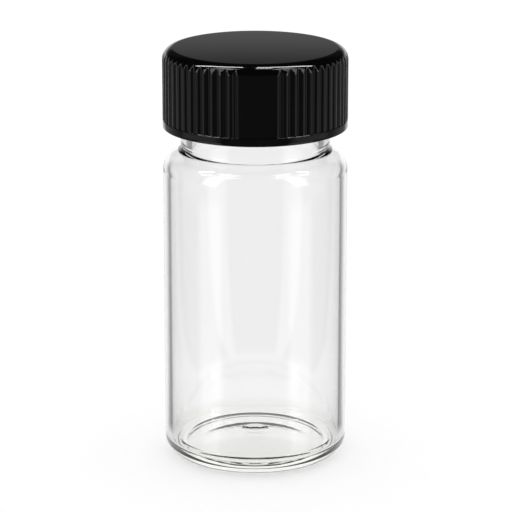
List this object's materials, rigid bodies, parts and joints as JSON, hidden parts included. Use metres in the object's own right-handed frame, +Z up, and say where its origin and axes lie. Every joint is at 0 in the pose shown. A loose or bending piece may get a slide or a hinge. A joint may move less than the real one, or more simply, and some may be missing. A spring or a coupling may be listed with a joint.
{
  "type": "glass sample vial with screw cap",
  "caption": "Clear glass sample vial with a rounded shoulder, a thick crowned floor and a threaded neck, closed by a fluted black screw cap with a sealing liner.",
  "frame": {"origin": "centre of the base, on the plane that the vial stands on", "axes": "+Z up along the vial's axis, -Y towards the cap's smooth panel"},
  "size_m": [0.028, 0.028, 0.0639],
  "materials": {
    "clear_glass": "clear, fire-polished",
    "black_cap": "moulded, glossy",
    "white_liner": "smooth, matt"
  },
  "bodies": {
    "vial": {"glass_vial": "clear_glass"},
    "liner": {"cap_liner": "white_liner"},
    "cap": {"screw_cap": "black_cap"}
  },
  "joints": [
    {"name": "cap_rise", "type": "slide", "parent": "vial", "child": "liner", "axis": [0, 0, 1], "range_m": [0, 0.01271]},
    {"name": "cap_turn", "type": "hinge", "parent": "liner", "child": "cap", "pos_m": [0, 0, 0.0639], "axis": [0, 0, 1], "range_deg": [0, 1440]}
  ],
  "couplings": [
    {"joint": "cap_rise", "follows": "cap_turn", "m_per_rad": 0.00050532}
  ]
}
